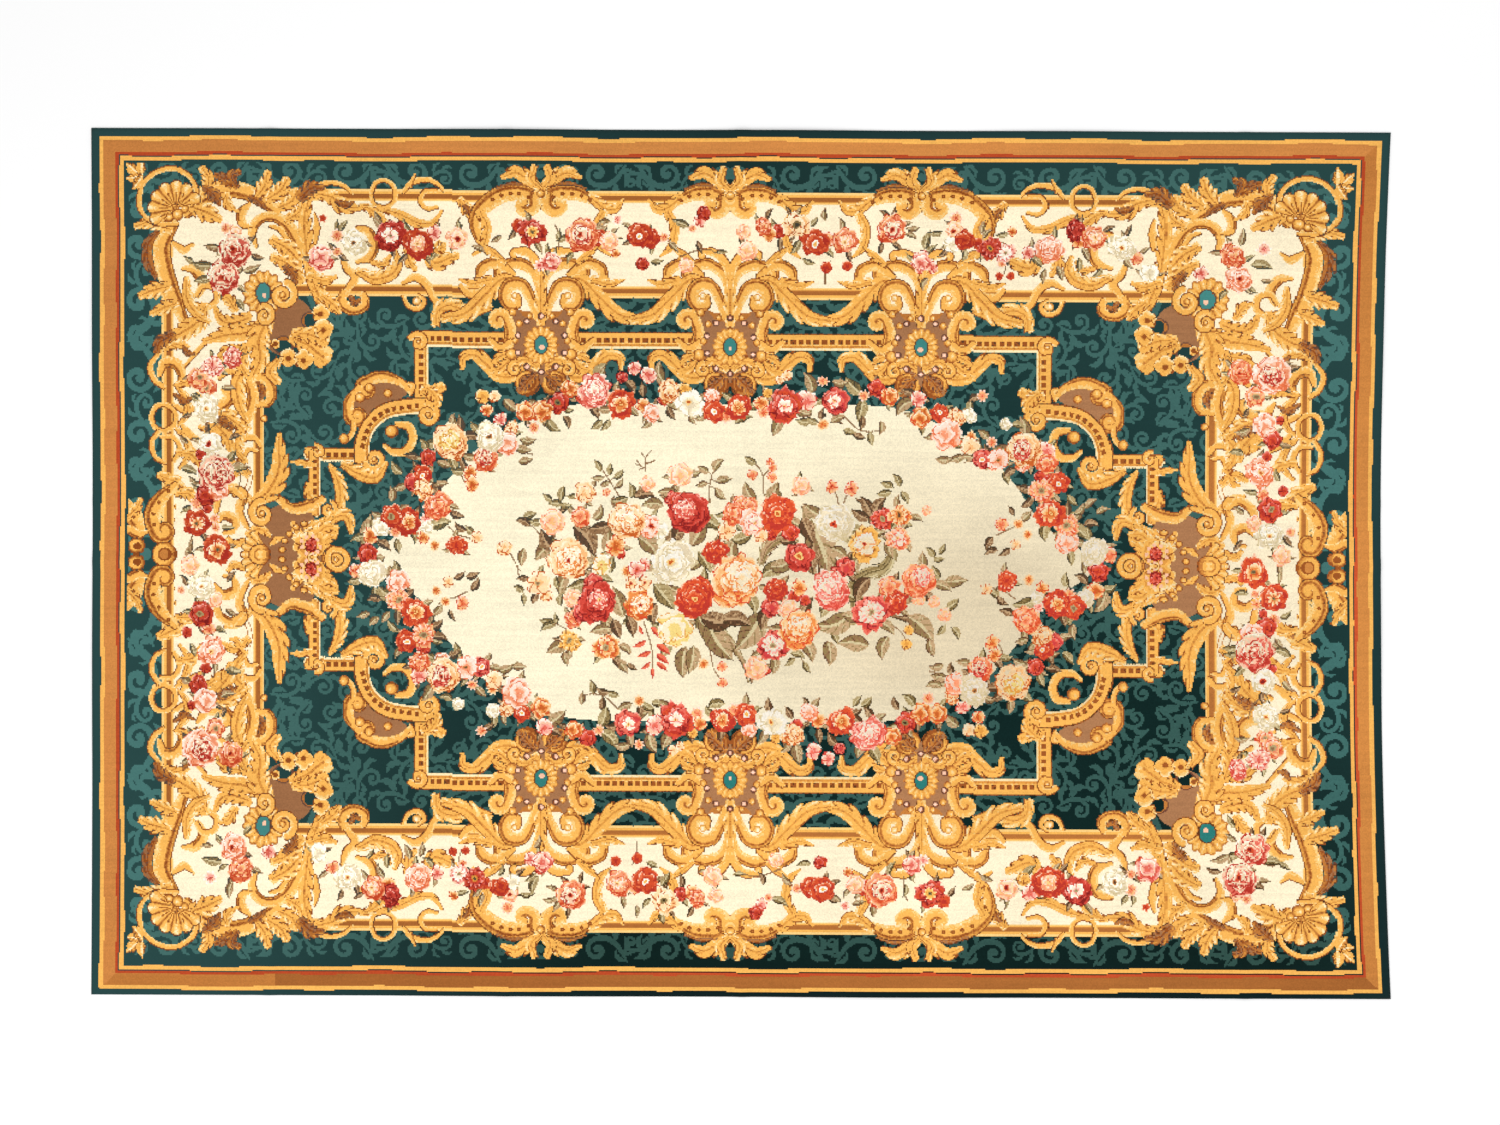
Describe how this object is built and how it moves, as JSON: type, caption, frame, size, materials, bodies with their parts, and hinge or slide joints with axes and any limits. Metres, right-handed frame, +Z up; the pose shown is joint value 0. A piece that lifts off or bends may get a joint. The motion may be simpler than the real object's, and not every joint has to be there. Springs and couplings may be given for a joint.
{
  "type": "aubusson rug",
  "caption": "Large rectangular flat-woven wool rug with a floral medallion and scrolled border, lying flat and face up.",
  "frame": {"origin": "middle of the rug's underside box, on the floor", "axes": "+X along the rug's length, +Y across it, +Z up from the floor through the face"},
  "size_m": [2.743, 1.839, 0.0103],
  "materials": {
    "wool_weave": "matt wool weave in many yarn colours: dark teal ground, gold scrolls, cream medallion, red and pink flowers"
  },
  "bodies": {
    "root": {"rug": "wool_weave"}
  },
  "joints": []
}
